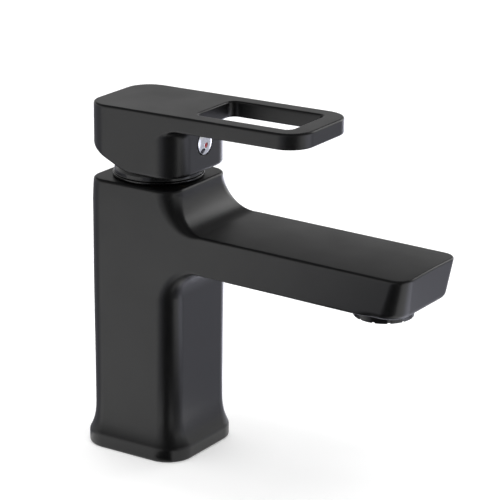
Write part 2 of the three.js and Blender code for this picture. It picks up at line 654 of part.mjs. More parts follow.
function handle() {
  const plan = planOutline(HANDLE_HALF, HANDLE_REACH, CUP_HALF_Y, HANDLE_CORNER);
  const cavity = planOutline(CAVITY_HALF_X, CAVITY_HALF_Y, CAVITY_HALF_Y, CAVITY_CORNER);
  const openingHalfY = OPENING_LENGTH / 2;
  const openingMiddle = OPENING_NEAR + openingHalfY;
  const opening = planOutline(HANDLE_HALF - OPENING_BORDER, openingHalfY, openingHalfY, OPENING_CORNER);
  const socket = STEM_HALF + GAP;
  const plugFront = -CUP_HALF_Y - 1;
  const wide = HANDLE_HALF + 1;
  return sidePrism(leverSide(), wide)
    .add(cup())
    .intersect(solid(prism(plan, 0, 200)))
    .subtract(sidePrism(reliefSide(), wide))
    .subtract(solid(prism(opening, 100, 200).translate(0, -openingMiddle, 0)))
    .subtract(solid(prism(cavity, 100, CAVITY_TOP)))
    .add(screwBoss())
    .subtract(block(-socket, socket, -socket, socket, 100, STEM_TOP + GAP))
    .subtract(rodY(SCREW_RADIUS + GAP, plugFront, 0, 0, SCREW_Z, 20))
    .subtract(rodY(PLUG_RADIUS + GAP, plugFront, PLUG_DEPTH + GAP - CUP_HALF_Y, 0, SCREW_Z));
}

function handleScrew() {
  const tip = -STEM_HALF - GAP;
  const keyRadius = 1.2;
  return rodY(SCREW_RADIUS, tip - SCREW_LENGTH, tip, 0, SCREW_Z, 20)
    .subtract(rodY(keyRadius, tip - SCREW_LENGTH - 1, tip - SCREW_LENGTH + 2.5, 0, SCREW_Z, 6));
}

// Crowned plug over the screw, with pockets for the two coloured marks. The plug sits turned in its
// bore, so that the marks lie below its middle, one lower than the other: [x, height above the screw].
const MARKS = {
  hot_mark: [0, -0.9],
  cold_mark: [-1.8, -3],
};
const plugFace = -CUP_HALF_Y - PLUG_CROWN;

function indicatorPlug() {
  const rim = -CUP_HALF_Y;
  const sphere = (PLUG_RADIUS ** 2 + PLUG_CROWN ** 2) / (2 * PLUG_CROWN);
  const crown = solid(new THREE.SphereGeometry(sphere, 32, 20).translate(0, sphere + plugFace, SCREW_Z));
  let plug = rodY(PLUG_RADIUS, plugFace - 1, PLUG_DEPTH + rim, 0, SCREW_Z).intersect(crown);
  for (const [x, rise] of Object.values(MARKS)) {
    plug = plug.subtract(rodY(MARK_RADIUS + 0.1, plugFace - 1, rim + MARK_DEPTH, x, SCREW_Z + rise, 16));
  }
  return plug;
}

function mark([x, rise]) {
  return rodY(MARK_RADIUS - 0.1, -CUP_HALF_Y - 0.3, -CUP_HALF_Y + MARK_DEPTH - GAP, x, SCREW_Z + rise, 16);
}

// ---- Aerator ----
function aeratorShell() {
  const slopeAcross = Math.tan(-SPOUT_UNDERSIDE_SLOPE) * AERATOR_RADIUS;
  const collarTop = SPOUT_UNDERSIDE_AT_AERATOR - slopeAcross - GAP;
  const lipTop = AERATOR_BOTTOM + AERATOR_LIP_HEIGHT;
  const lipRadius = AERATOR_BORE - AERATOR_LIP;
  return turned([
    [lipRadius, AERATOR_BOTTOM],
    [AERATOR_RADIUS, AERATOR_BOTTOM],
    [AERATOR_RADIUS, collarTop],
    [AERATOR_THREAD_RADIUS, collarTop],
    [AERATOR_THREAD_RADIUS, AERATOR_TOP],
    [AERATOR_BORE, AERATOR_TOP],
    [AERATOR_BORE, lipTop],
    [lipRadius, lipTop],
    [lipRadius, AERATOR_BOTTOM],
  ]).translate(0, -AERATOR_Y, 0);
}

// A disc that fits the shell's bore, with a centre hole and a circle of holes round it.
function drilledDisc(low, high, holeRadius) {
  const radius = AERATOR_BORE - GAP;
  const circle = 0.6 * radius;
  const count = 8;
  let disc = rodZ(radius, low, high, 0, 0, 32).subtract(rodZ(holeRadius, low - 1, high + 1, 0, 0, 8));
  for (let i = 0; i < count; i++) {
    const angle = (i / count) * 2 * Math.PI;
    const x = circle * Math.cos(angle);
    const y = circle * Math.sin(angle);
    disc = disc.subtract(rodZ(holeRadius, low - 1, high + 1, x, y, 8));
  }
  return disc.translate(0, -AERATOR_Y, 0);
}

const screenBottom = AERATOR_BOTTOM + AERATOR_LIP_HEIGHT + GAP;
const insertBottom = screenBottom + SCREEN_HEIGHT + GAP;

function aeratorScreen() {
  return drilledDisc(screenBottom, screenBottom + SCREEN_HEIGHT, SCREEN_HOLE);
}

function aeratorInsert() {
  return drilledDisc(insertBottom, AERATOR_TOP, INSERT_HOLE);
}

function aeratorWasher() {
  const bottom = AERATOR_TOP + GAP;
  const radius = AERATOR_THREAD_RADIUS - GAP;
  return rodZ(radius, bottom, bottom + WASHER_HEIGHT, 0, -AERATOR_Y, 32)
    .subtract(rodZ(radius - WASHER_WIDTH, 0, 200, 0, -AERATOR_Y, 32));
}

add('body_casting', bodyCasting(), BLACK_COAT);
add('base_gasket', baseGasket(), RUBBER);
add('collar_ring', collarRing(), BLACK_COAT);
add('collar_seal', collarSeal(), RUBBER);
add('lock_nut', lockNut(), BRASS);
add('cartridge_base', cartridgeBase(), WHITE_PLASTIC);
add('hot_port_seal', portSeal(PORTS[0]), RUBBER);
add('cold_port_seal', portSeal(PORTS[1]), RUBBER);
add('outlet_port_seal', portSeal(PORTS[2]), RUBBER);
add('fixed_disc', fixedDisc(), CERAMIC);
add('moving_disc', movingDisc(), CERAMIC);
add('disc_carrier', discCarrier(), WHITE_PLASTIC);
add('cartridge_housing', cartridgeHousing(), WHITE_PLASTIC);
add('spindle_guide', spindleGuide(), WHITE_PLASTIC);
add('pivot_pin', pivotPin(), STEEL);
add('stem', stem(), STEEL);
add('handle', handle(), BLACK_COAT);
add('handle_screw', handleScrew(), STEEL);
add('indicator_plug', indicatorPlug(), CHROME);
add('hot_mark', mark(MARKS.hot_mark), RED);
add('cold_mark', mark(MARKS.cold_mark), BLUE);
add('aerator_shell', aeratorShell(), BLACK_COAT);
add('aerator_screen', aeratorScreen(), STEEL);
add('aerator_insert', aeratorInsert(), WHITE_PLASTIC);
add('aerator_washer', aeratorWasher(), RUBBER);

export default group;
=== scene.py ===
"""Looks of a matte black single-lever basin mixer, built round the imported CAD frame."""

import json
import math

import bmesh
import bpy
import numpy as np
from mathutils import Matrix, Vector

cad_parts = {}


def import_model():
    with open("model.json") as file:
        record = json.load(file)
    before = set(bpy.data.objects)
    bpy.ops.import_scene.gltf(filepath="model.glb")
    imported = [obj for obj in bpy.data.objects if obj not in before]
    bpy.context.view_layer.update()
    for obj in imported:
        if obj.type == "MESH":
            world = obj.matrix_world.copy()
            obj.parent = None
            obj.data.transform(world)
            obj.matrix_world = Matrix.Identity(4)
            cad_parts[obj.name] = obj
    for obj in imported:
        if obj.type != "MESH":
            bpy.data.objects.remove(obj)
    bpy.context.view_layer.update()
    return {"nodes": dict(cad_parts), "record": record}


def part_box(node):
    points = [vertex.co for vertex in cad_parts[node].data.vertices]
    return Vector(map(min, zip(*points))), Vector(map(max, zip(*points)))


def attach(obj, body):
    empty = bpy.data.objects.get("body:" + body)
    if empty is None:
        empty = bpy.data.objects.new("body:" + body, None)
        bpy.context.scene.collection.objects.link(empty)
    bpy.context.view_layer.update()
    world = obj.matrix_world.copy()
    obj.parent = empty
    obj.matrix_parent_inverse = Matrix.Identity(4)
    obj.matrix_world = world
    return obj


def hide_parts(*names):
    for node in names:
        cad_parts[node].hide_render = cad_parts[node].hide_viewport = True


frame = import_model()

MM = 0.001
DEG = math.pi / 180

# ---- Sizes of the casting, in millimetres ----
COLUMN_HALF = 21.5
COLUMN_CORNER = 8.3
COLUMN_TOP = 115.2
COLUMN_RIM = 1.1  # rounding of the column's top edge
WAIST_TOP = COLUMN_TOP - 37
WAIST_SHARE = 0.012
SHOULDER_START = COLUMN_TOP - 10.8
SHOULDER_SHARE = 0.018
OVERHANG_X = 2.2
OVERHANG_Y = 3.0
BASE_CORNER = 11.6
BASE_BAND = 6.4
BASE_BEAD = 1.6
BASE_BEAD_SHARE = 0.16
BASE_FOOT = 1.1
BASE_TOP = 19.0
BASE_COVE = 2.8
SPOUT_TOP = 100.1
SPOUT_TOP_SLOPE = math.tan(-0.82 * DEG)
SPOUT_UNDERSIDE = 83.95
SPOUT_UNDERSIDE_SLOPE = math.tan(-1.07 * DEG)
SPOUT_REACH = 127.8
SPOUT_LEAN = math.tan(9.2 * DEG)
SPOUT_TIP_CORNER = 6.6  # plan corners at the top edge
SPOUT_TIP_LOWER_CORNER = 9.0  # and at the lower edge
SPOUT_CROWN = 0.5  # the top face is this much higher along its middle
SPOUT_EDGE = 0.9
SPOUT_TIP_LOWER_EDGE = 2.6
FILLET_ABOVE = 13.0
FILLET_BELOW = 13.5

# ---- Hollows of the casting ----
SEAT_Z = 95.2
NUT_SEAT_Z = 106.9
CARTRIDGE_BORE = 13.0
NUT_BORE = 16.0
CORE_HALF = 18.1
CORE_CORNER = 5.0
CORE_CEILING = 62.0
GASKET_HALF = 21.0
GASKET_CORNER = 7.6
GASKET_TOP = 2.3
SOCKET_RADIUS = 5.1
SOCKET_X = 7.5
SOCKET_Y = 3.0
SOCKET_TOP = 74.0
STUD_RADIUS = 4.0
STUD_F = 10.0
STUD_TOP = 76.0
AERATOR_F = 106.5
AERATOR_BORE = 11.3
AERATOR_POCKET_TOP = 94.66

# ---- Handle ----
HANDLE_HALF = 20.4
CUP_HALF_Y = 22.6
HANDLE_CORNER = 10.7
CUP_BOTTOM = 119.7
HANDLE_TOP = 146.4
HANDLE_TILT = math.tan(0.85 * DEG)
HANDLE_REACH = 79.6
LEVER_THICKNESS = 6.6
CUP_FILLET = 4.0
HANDLE_EDGE = 0.9
CUP_EDGE = 1.5
RELIEF_START = 2.5
RELIEF_SLOPE = 24 * DEG
OPENING_NEAR = 26.8
OPENING_FAR = 70.9
OPENING_HALF = 13.2
OPENING_CORNER = 3.4
CAVITY_HALF_X = 19.0
CAVITY_HALF_Y = 20.0
CAVITY_CORNER = 7.0
CAVITY_TOP = 133.0
STEM_SOCKET = 3.6
STEM_SOCKET_TOP = 139.8
SCREW_Z = 131.6
SCREW_BORE = 2.8
PLUG_BORE = 5.2
PLUG_RADIUS = 4.9
PLUG_POCKET = 3.7
BOSS_RADIUS = 6.2
WEB_HALF = 6.1
WEB_BOTTOM = 125.7

TIP_BLEND_BEFORE = 22.0  # the rounded tip takes over this far before the reach
TIP_BLEND_LENGTH = 10.0

CELL = 0.6  # spacing of the sampled distance field


# ---- Distance fields ----
def length2(a, b):
    return np.sqrt(a * a + b * b)


def rounded_box(x, y, half_x, half_y, corner):
    """Distance to a rounded rectangle in plan."""
    qx = np.abs(x) - half_x + corner
    qy = np.abs(y) - half_y + corner
    outside = length2(np.maximum(qx, 0), np.maximum(qy, 0))
    return outside + np.minimum(np.maximum(qx, qy), 0) - corner


def both(a, b, radius=0.0):
    """Intersection whose convex edge is rounded by radius."""
    if np.isscalar(radius) and radius == 0:
        return np.maximum(a, b)
    edge = length2(np.maximum(a + radius, 0), np.maximum(b + radius, 0))
    return np.minimum(np.maximum(a, b), -radius) + edge


def either(a, b, radius=0.0):
    """Union whose concave corner is filled by radius."""
    if radius == 0:
        return np.minimum(a, b)
    hollow = length2(np.maximum(radius - a, 0), np.maximum(radius - b, 0))
    return np.maximum(np.minimum(a, b), radius) - hollow


def less(a, b, radius=0.0):
    return both(a, -b, radius)


def shaft(x, y, z, radius, low, high):
    """Upright cylinder."""
    return both(length2(x, y) - radius, both(z - high, low - z))


def smooth_share(value):
    share = np.clip(value, 0, 1)
    return share * share * (3 - 2 * share)


# ---- Casting ----
def column_share(z):
    waist = np.clip((WAIST_TOP - z) / (WAIST_TOP - BASE_TOP), 0, 1)
    shoulder = np.clip((z - SHOULDER_START) / (COLUMN_TOP - SHOULDER_START), 0, 1)
    return 1 - WAIST_SHARE * smooth_share(waist) - SHOULDER_SHARE * shoulder**2


def spout_top(f):
    return SPOUT_TOP + SPOUT_TOP_SLOPE * f


def crowned_top(xs, f):
    return spout_top(f) + SPOUT_CROWN * (1 - np.minimum(xs / COLUMN_HALF, 1) ** 2)


def spout_underside(f):
    return SPOUT_UNDERSIDE + SPOUT_UNDERSIDE_SLOPE * f


def edge_radius(f, z):
    """Rounding between the side faces and the front: wide on the column, narrow on the spout."""
    below_f = COLUMN_HALF + FILLET_BELOW
    below_z = spout_underside(below_f) - FILLET_BELOW
    above_f = COLUMN_HALF + FILLET_ABOVE
    above_z = spout_top(above_f) + FILLET_ABOVE
    lower = np.arctan2(np.maximum(z - below_z, 0), np.maximum(below_f - f, 1e-6))
    upper = np.arctan2(np.maximum(above_z - z, 0), np.maximum(above_f - f, 1e-6))
    middle = (SPOUT_TOP + SPOUT_UNDERSIDE) / 2
    share = np.where(z > middle, upper, lower) / (math.pi / 2)
    share = np.clip(share, 0, 1) * smooth_share(f / (COLUMN_HALF - COLUMN_CORNER))
    return COLUMN_CORNER + (SPOUT_EDGE - COLUMN_CORNER) * share


def side_outline(xs, f, z):
    """Side view of column and spout, without ends: the column is endless up and down."""
    column = np.abs(f) - COLUMN_HALF
    above = z - crowned_top(xs, f)
    below = spout_underside(f) - z
    ahead = -f
    spout_from_above = both(above, ahead)
    spout_from_below = both(below, ahead)
    upper = either(column, spout_from_above, FILLET_ABOVE)
    lower = either(column, spout_from_below, FILLET_BELOW)
    return np.maximum(upper, lower)


def flare(x, f, z):
    """The flared base: a rounded rectangle that grows towards the deck."""
    foot = BASE_FOOT - np.sqrt(np.maximum(BASE_FOOT**2 - np.maximum(BASE_FOOT - z, 0) ** 2, 0))
    over = np.maximum(z - (BASE_BAND - BASE_BEAD), 0)
    bead = 1 - BASE_BEAD_SHARE * (over / BASE_BEAD) ** 2
    left = np.clip((BASE_TOP - z) / (BASE_TOP - BASE_BAND), 0, 1)
    cove = (1 - BASE_BEAD_SHARE) * left**BASE_COVE
    share = np.where(z > BASE_BAND, cove, bead) - foot / OVERHANG_Y
    column = COLUMN_HALF * (1 - WAIST_SHARE)
    half_x = column + (COLUMN_HALF + OVERHANG_X - column) * share
    half_y = column + (COLUMN_HALF + OVERHANG_Y - column) * share
    corner = COLUMN_CORNER * (1 - WAIST_SHARE)
    corner = corner + (BASE_CORNER - corner) * share
    return rounded_box(x, f, half_x, half_y, corner)


def spout_plan(x, f, z):
    """Distance to the spout's outline in plan, whose tip leans back towards the underside."""
    tip_top = spout_top(SPOUT_REACH)
    tip_bottom = spout_underside(SPOUT_REACH)
    drop = np.clip((tip_top - z) / (tip_top - tip_bottom), 0, 1)
    corner = SPOUT_TIP_CORNER + (SPOUT_TIP_LOWER_CORNER - SPOUT_TIP_CORNER) * drop
    leaned = f + SPOUT_LEAN * (tip_top - z)
    half_f = SPOUT_REACH / 2 + 50
    return rounded_box(x, leaned - SPOUT_REACH + half_f, COLUMN_HALF, half_f, corner)


def casting(p):
    x, y, z = p
    share = column_share(z)
    xs = np.abs(x / share)
    f = -y / share
    side = side_outline(xs, f, z)
    body = both(side, xs - COLUMN_HALF, edge_radius(f, z))
    plan = spout_plan(xs, f, z)
    level = both(z - crowned_top(xs, f), plan, SPOUT_EDGE)
    under = both(spout_underside(f) - z, plan, SPOUT_TIP_LOWER_EDGE)
    tip = np.maximum(level, under)
    front = smooth_share((f - (SPOUT_REACH - TIP_BLEND_BEFORE)) / TIP_BLEND_LENGTH)
    body = np.where(front > 0, np.maximum(body, tip * front + body * (1 - front)), body)
    body = both(body, z - COLUMN_TOP, COLUMN_RIM)
    body = np.where(z < BASE_TOP, flare(x, -y, z), body)
    body = both(body, -z)
    return hollowed(body, x, -y, z)


def hollowed(body, x, f, z):
    core = both(rounded_box(x, f, CORE_HALF, CORE_HALF, CORE_CORNER), z - CORE_CEILING)
    gasket = both(rounded_box(x, f, GASKET_HALF, GASKET_HALF, GASKET_CORNER), z - GASKET_TOP)
    body = less(body, core, 0.3)
    body = less(body, gasket)
    body = less(body, shaft(x, f, z, CARTRIDGE_BORE, SEAT_Z, 200))
    body = less(body, shaft(x, f, z, NUT_BORE, NUT_SEAT_Z, 200), 0.4)
    body = less(body, shaft(x, f - STUD_F, z, STUD_RADIUS, CORE_CEILING - 5, STUD_TOP), 0.4)
    for side in (-1, 1):
        socket = shaft(x - side * SOCKET_X, f + SOCKET_Y, z, SOCKET_RADIUS, CORE_CEILING - 5, SOCKET_TOP)
        body = less(body, socket, 0.4)
    return less(body, shaft(x, f - AERATOR_F, z, AERATOR_BORE, 0, AERATOR_POCKET_TOP), 0.3)


# ---- Handle ----
def handle_top(f):
    return HANDLE_TOP + HANDLE_TILT * f


def handle_field(p):
    x, y, z = p
    f = -y
    middle = (HANDLE_REACH - CUP_HALF_Y) / 2
    plan = rounded_box(x, f - middle, HANDLE_HALF, HANDLE_REACH - middle, HANDLE_CORNER)
    cup = rounded_box(x, f, HANDLE_HALF, CUP_HALF_Y, HANDLE_CORNER)
    plate = both(handle_top(f) - LEVER_THICKNESS - z, plan, HANDLE_EDGE)
    shape = np.maximum(either(plate, cup, CUP_FILLET), plan)
    relief = (CUP_BOTTOM - z) * math.cos(RELIEF_SLOPE)
    relief = relief - (f + RELIEF_START) * math.sin(RELIEF_SLOPE)
    shape = both(shape, CUP_BOTTOM - z, CUP_EDGE)
    shape = both(shape, relief, CUP_EDGE)
    shape = both(shape, z - handle_top(f), HANDLE_EDGE)
    opening_middle = (OPENING_NEAR + OPENING_FAR) / 2
    opening = rounded_box(x, f - opening_middle, OPENING_HALF, OPENING_FAR - opening_middle, OPENING_CORNER)
    shape = less(shape, opening, 0.7)
    cavity = both(rounded_box(x, f, CAVITY_HALF_X, CAVITY_HALF_Y, CAVITY_CORNER), z - CAVITY_TOP)
    boss = both(length2(x, f) - BOSS_RADIUS, CAVITY_TOP - 3.6 - z)
    web = both(both(np.abs(x) - WEB_HALF, WEB_BOTTOM - z), both(-f, f - CUP_HALF_Y + 1))
    cavity = less(cavity, np.minimum(boss, web))
    shape = less(shape, cavity, 0.35)
    socket = both(both(np.abs(x), np.abs(f)) - STEM_SOCKET, z - STEM_SOCKET_TOP)
    screw = both(length2(x, z - SCREW_Z) - SCREW_BORE, -f)
    pocket = both(length2(x, z - SCREW_Z) - PLUG_BORE, CUP_HALF_Y - PLUG_POCKET - f)
    shape = less(less(shape, socket), screw)
    return less(shape, pocket, 0.25)


# ---- Field to mesh ----
def sample(field, low, high, step):
    axes = [np.arange(a - 2.5 * step, b + 2.5 * step, step) for a, b in zip(low, high)]
    values = np.empty([len(a) for a in axes])
    for i, x in enumerate(axes[0]):
        y, z = np.meshgrid(axes[1], axes[2], indexing="ij")
        values[i] = field((np.full_like(y, x), y, z))
    return axes, values


def cell_points(axes, values, step):
    """One point in every cell that the surface passes through."""
    inside = values < 0
    count = np.zeros([n - 1 for n in values.shape], int)
    for dx in (0, 1):
        for dy in (0, 1):
            for dz in (0, 1):
                nx, ny, nz = count.shape
                count += inside[dx:dx + nx, dy:dy + ny, dz:dz + nz]
    cells = np.argwhere((count > 0) & (count < 8))
    total = np.zeros((len(cells), 3))
    hits = np.zeros(len(cells))
    for axis in range(3):
        others = [a for a in range(3) if a != axis]
        for first in (0, 1):
            for second in (0, 1):
                start = cells.copy()
                start[:, others[0]] += first
                start[:, others[1]] += second
                end = start.copy()
                end[:, axis] += 1
                a = values[tuple(start.T)]
                b = values[tuple(end.T)]
                crossed = (a < 0) != (b < 0)
                share = np.where(crossed, a / np.where(crossed, a - b, 1), 0)
                point = start.astype(float)
                point[:, axis] += share
                total[crossed] += point[crossed]
                hits += crossed
    points = total / hits[:, None] * step + np.array([a[0] for a in axes])
    return cells, points


def cell_quads(values, cells):
    """Joins the four cells round every crossed grid edge."""
    number = -np.ones([n - 1 for n in values.shape], int)
    number[tuple(cells.T)] = np.arange(len(cells))
    inside = values < 0
    quads = []
    for axis in range(3):
        u, v = [(1, 2), (2, 0), (0, 1)][axis]
        low = [slice(1, -1)] * 3
        high = [slice(1, -1)] * 3
        low[axis] = slice(0, -1)
        high[axis] = slice(1, None)
        for rising in (True, False):
            begins = inside[tuple(low)]
            ends = inside[tuple(high)]
            found = np.argwhere((begins & ~ends) if rising else (~begins & ends))
            found[:, u] += 1
            found[:, v] += 1
            ring = []
            for du, dv in ((-1, -1), (0, -1), (0, 0), (-1, 0)):
                cell = found.copy()
                cell[:, u] += du
                cell[:, v] += dv
                ring.append(number[tuple(cell.T)])
            ring = np.stack(ring, 1)
            quads.append(ring if rising else ring[:, ::-1])
    return np.concatenate(quads)


def gradient(field, points, reach=0.02):
    slopes = []
    for axis in range(3):
        ahead = points.copy()
        behind = points.copy()
        ahead[:, axis] += reach
        behind[:, axis] -= reach
        slopes.append((field(tuple(ahead.T)) - field(tuple(behind.T))) / (2 * reach))
    return np.stack(slopes, 1)


def settle(field, points, step, rounds=6):
    """Moves the points onto the exact surface."""
    for _ in range(rounds):
        slope = gradient(field, points)
        square = np.maximum((slope**2).sum(1), 0.05)
        move = -(field(tuple(points.T)) / square)[:, None] * slope
        size = np.sqrt((move**2).sum(1))
        move *= np.minimum(1, 0.5 * step / np.maximum(size, 1e-9))[:, None]
        points = points + move
    return points


def field_piece(name, field, low, high, step=CELL):
    """A closed mesh of a distance field, with the field's own normals."""
    axes, values = sample(field, low, high, step)
    cells, points = cell_points(axes, values, step)
    points = settle(field, points, step)
    mesh = bpy.data.meshes.new(name)
    mesh.from_pydata((points * MM).tolist(), [], cell_quads(values, cells).tolist())
    mesh.shade_smooth()
    normals = gradient(field, points, 0.05)
    normals /= np.maximum(np.linalg.norm(normals, axis=1), 1e-9)[:, None]
    mesh.normals_split_custom_set_from_vertices(normals.tolist())
    return link(name, mesh)


def link(name, mesh):
    piece = bpy.data.objects.new(name, mesh)
    bpy.context.scene.collection.objects.link(piece)
    return piece


def turned(name, profile, centre=(0, 0, 0), turns=96, angle=28):
    """A profile of (radius, height) turned about the upright axis, in millimetres."""
    shape = bmesh.new()
    ring = [shape.verts.new((r * MM, 0, z * MM)) for r, z in profile]
    edges = [shape.edges.new((a, b)) for a, b in zip(ring, ring[1:] + ring[:1])]
    bmesh.ops.spin(shape, geom=ring + edges, cent=(0, 0, 0), axis=(0, 0, 1), steps=turns,
                   angle=2 * math.pi, use_merge=True, use_duplicate=False)
    bmesh.ops.remove_doubles(shape, verts=shape.verts, dist=1e-7)
    bmesh.ops.recalc_face_normals(shape, faces=shape.faces)
    return finished(name, shape, centre, angle)


def finished(name, shape, centre, angle=28):
    shape.transform(Matrix.Translation(Vector(centre) * MM))
    mesh = bpy.data.meshes.new(name)
    shape.to_mesh(mesh)
    shape.free()
    mesh.shade_smooth()
    mesh.set_sharp_from_angle(angle=angle * DEG)
    piece = link(name, mesh)
    weighted = piece.modifiers.new("even_normals", "WEIGHTED_NORMAL")
    weighted.keep_sharp = True
    return piece


# ---- Collar ----
PIVOT_Z = 112.2
COLLAR_RADIUS = 18.7
COLLAR_DOME = 18.95
COLLAR_BOTTOM = 115.5
COLLAR_TOP = 122.4
COLLAR_FLANGE = 1.1
COLLAR_NECK = 18.0
COLLAR_WALL = 1.8


def arc(centre_r, centre_z, radius, start, end, steps=6):
    """Points of a circular arc in a turned profile; angles in degrees."""
    points = []
    for i in range(steps + 1):
        angle = (start + (end - start) * i / steps) * DEG
        points.append((centre_r + radius * math.cos(angle), centre_z + radius * math.sin(angle)))
    return points


def dome(z, sphere):
    return math.sqrt(sphere**2 - (z - PIVOT_Z) ** 2)


def collar_profile():
    rim = 0.35
    flange_top = COLLAR_BOTTOM + COLLAR_FLANGE
    start = PIVOT_Z + math.sqrt(COLLAR_DOME**2 - COLLAR_NECK**2)
    inner = COLLAR_DOME - COLLAR_WALL
    inner_top = COLLAR_TOP - COLLAR_WALL
    steps = 14
    outside = []
    inside = []
    for i in range(steps + 1):
        z = start + (COLLAR_TOP - 0.3 - start) * i / steps
        outside.append((dome(z, COLLAR_DOME), z))
        z = inner_top + (COLLAR_BOTTOM - inner_top) * i / steps
        inside.append((dome(z, inner), z))
    top_r = dome(COLLAR_TOP - 0.3, COLLAR_DOME) - 0.35
    opening = dome(inner_top, inner) - 1
    profile = arc(COLLAR_RADIUS - rim, COLLAR_BOTTOM + rim, rim, -90, 0)
    profile += arc(COLLAR_RADIUS - rim, flange_top - rim, rim, 0, 90)
    profile += [(COLLAR_NECK + 0.1, flange_top + 0.15), (COLLAR_NECK, flange_top + 0.5)]
    profile += outside
    profile += [(top_r, COLLAR_TOP), (opening, COLLAR_TOP), (opening, inner_top)]
    return profile + inside


# ---- Aerator ----
AERATOR_RADIUS = 12.0
AERATOR_THREAD = 11.0
AERATOR_BOTTOM = 76.06
AERATOR_COLLAR_TOP = 81.44
AERATOR_TOP = 89.96
AERATOR_LIP_HEIGHT = 2.0
AERATOR_LIP_RADIUS = 8.2
AERATOR_INNER = 9.4
NOTCHES = 12
NOTCH_DEPTH = 0.5
NOTCH_WIDTH = 1.3


def aerator_profile():
    rim = 0.4
    lip_top = AERATOR_BOTTOM + AERATOR_LIP_HEIGHT
    profile = arc(AERATOR_LIP_RADIUS + rim, AERATOR_BOTTOM + rim, rim, 180, 270, 4)
    profile += arc(AERATOR_RADIUS - rim, AERATOR_BOTTOM + rim, rim, -90, 0, 4)
    profile += arc(AERATOR_RADIUS - 0.25, AERATOR_COLLAR_TOP - 0.25, 0.25, 0, 90, 3)
    profile += [(AERATOR_THREAD, AERATOR_COLLAR_TOP)]
    pitch = 1.0
    z = AERATOR_COLLAR_TOP + 0.6
    while z < AERATOR_TOP - 1.1:
        profile += [(AERATOR_THREAD - 0.35, z), (AERATOR_THREAD - 0.03, z + pitch / 2)]
        z += pitch
    profile += [(AERATOR_THREAD - 0.3, AERATOR_TOP), (AERATOR_INNER, AERATOR_TOP)]
    return profile + [(AERATOR_INNER, lip_top), (AERATOR_LIP_RADIUS, lip_top)]


def cut_with(piece, cutter):
    """Takes the cutter away from the piece for good."""
    cut = piece.modifiers.new("cut", "BOOLEAN")
    cut.operation = "DIFFERENCE"
    cut.solver = "EXACT"
    cut.object = cutter
    bpy.context.view_layer.update()
    evaluated = piece.evaluated_get(bpy.context.evaluated_depsgraph_get())
    mesh = bpy.data.meshes.new_from_object(evaluated)
    piece.modifiers.clear()
    old = piece.data
    piece.data = mesh
    bpy.data.meshes.remove(old)
    bpy.data.objects.remove(cutter)
    mesh.set_sharp_from_angle(angle=28 * DEG)
    weighted = piece.modifiers.new("even_normals", "WEIGHTED_NORMAL")
    weighted.keep_sharp = True
    mesh.name = piece.name


def notch_cutter():
    """Key notches round the aerator's lower rim."""
    shape = bmesh.new()
    for i in range(NOTCHES):
        turn = Matrix.Rotation(2 * math.pi * (i + 0.35) / NOTCHES, 4, "Z")
        place = Matrix.Translation((AERATOR_RADIUS * MM, 0, AERATOR_BOTTOM * MM))
        size = Matrix.Diagonal((3.2 * MM, NOTCH_WIDTH * MM, 2 * NOTCH_DEPTH * MM, 1))
        bmesh.ops.create_cube(shape, size=1, matrix=turn @ place @ size)
    shape.transform(Matrix.Translation((0, -AERATOR_F * MM, 0)))
    mesh = bpy.data.meshes.new("notches")
    shape.to_mesh(mesh)
    shape.free()
    return link("notches", mesh)


def aerator_shell():
    shell = turned("aerator_shell_black", aerator_profile(), (0, -AERATOR_F, 0))
    cut_with(shell, notch_cutter())
    return shell


SCREEN_LOW = 78.4
SCREEN_HIGH = 79.5
SCREEN_PITCH = 1.25
SCREEN_INSET = 0.35
WIRE = 0.36
WIRE_SIDES = 6
WEAVE = 0.16  # each wire rises and falls by this much


def wire_ring(shape, axis, along, across, phase):
    """One cross-section of a wire that runs along x (axis 0) or y (axis 1)."""
    centre_z = (SCREEN_LOW + SCREEN_HIGH) / 2
    lift = WEAVE * math.cos(phase)
    ring = []
    for side in range(WIRE_SIDES):
        angle = side * math.pi / 3
        off = across + WIRE / 2 * math.cos(angle)
        z = centre_z + lift + WIRE / 2 * math.sin(angle)
        point = (along, off, z) if axis == 0 else (off, along, z)
        ring.append(shape.verts.new([c * MM for c in point]))
    return ring


def join_rings(shape, rings):
    for a, b in zip(rings, rings[1:]):
        for side in range(WIRE_SIDES):
            other = (side + 1) % WIRE_SIDES
            shape.faces.new((a[side], a[other], b[other], b[side]))
    shape.faces.new(rings[0][::-1])
    shape.faces.new(rings[-1])


def woven_screen():
    """Woven wire across the outlet inside a rim."""
    radius = AERATOR_INNER - SCREEN_INSET
    shape = bmesh.new()
    count = int(radius / SCREEN_PITCH)
    for axis in (0, 1):
        for i in range(-count, count + 1):
            across = i * SCREEN_PITCH
            half = math.sqrt(max((radius - 0.4) ** 2 - across**2, 0.1))
            steps = max(int(2 * half / (SCREEN_PITCH / 4)), 4)
            rings = []
            for k in range(steps + 1):
                along = -half + 2 * half * k / steps
                phase = math.pi * (along / SCREEN_PITCH + i + axis)
                rings.append(wire_ring(shape, axis, along, across, phase))
            join_rings(shape, rings)
    bmesh.ops.recalc_face_normals(shape, faces=shape.faces)
    return finished("aerator_mesh", shape, (0, -AERATOR_F, 0), 60)


def screen_rim():
    outer = AERATOR_INNER - 0.3
    inner = outer - 0.8
    profile = [(inner, SCREEN_LOW), (outer, SCREEN_LOW), (outer, SCREEN_HIGH), (inner, SCREEN_HIGH)]
    return turned("aerator_mesh_rim", profile, (0, -AERATOR_F, 0))


# ---- Plug and its marks ----
PLUG_CROWN = 0.7
PLUG_DEPTH = 3.4
MARK_RADIUS = 1.1
HOT_MARK = (0.0, -0.9)  # sideways, and height above the screw
COLD_MARK = (-1.8, -3.0)
TO_FRONT = Matrix.Rotation(math.pi / 2, 4, "X")


